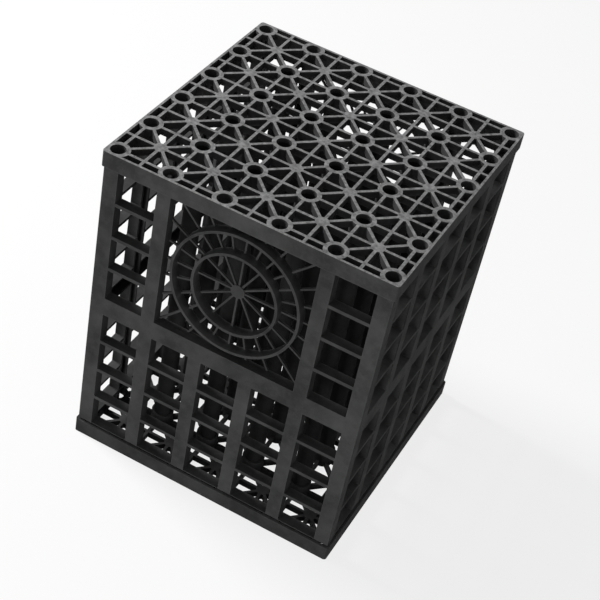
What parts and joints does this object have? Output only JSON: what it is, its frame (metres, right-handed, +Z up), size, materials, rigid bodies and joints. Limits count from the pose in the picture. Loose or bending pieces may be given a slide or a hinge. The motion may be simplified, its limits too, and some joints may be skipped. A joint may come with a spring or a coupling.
{
  "type": "soakaway crate",
  "caption": "Tall box of open black plastic lattice with star-ribbed decks, slotted walls, inner columns and round pipe knock-outs, buried to hold and drain rainwater.",
  "frame": {"origin": "centre of the crate's footprint, on the ground", "axes": "+Z up, -Y towards the front end panel with its pipe knock-out, +X towards the right side panel"},
  "size_m": [0.5, 0.5, 0.6],
  "materials": {
    "deck_plastic": "moulded black polypropylene, dull and lightly scuffed",
    "panel_plastic": "moulded black polypropylene, dull",
    "column_plastic": "moulded black polypropylene, dull"
  },
  "bodies": {
    "root": {"top_deck": "deck_plastic", "base_deck": "deck_plastic", "front_panel": "panel_plastic", "rear_panel": "panel_plastic", "left_panel": "panel_plastic", "right_panel": "panel_plastic", "column_1_1": "column_plastic", "column_1_2": "column_plastic", "column_1_3": "column_plastic", "column_1_4": "column_plastic", "column_2_1": "column_plastic", "column_2_2": "column_plastic", "column_2_3": "column_plastic", "column_2_4": "column_plastic", "column_3_1": "column_plastic", "column_3_2": "column_plastic", "column_3_3": "column_plastic", "column_3_4": "column_plastic", "column_4_1": "column_plastic", "column_4_2": "column_plastic", "column_4_3": "column_plastic", "column_4_4": "column_plastic"}
  },
  "joints": []
}
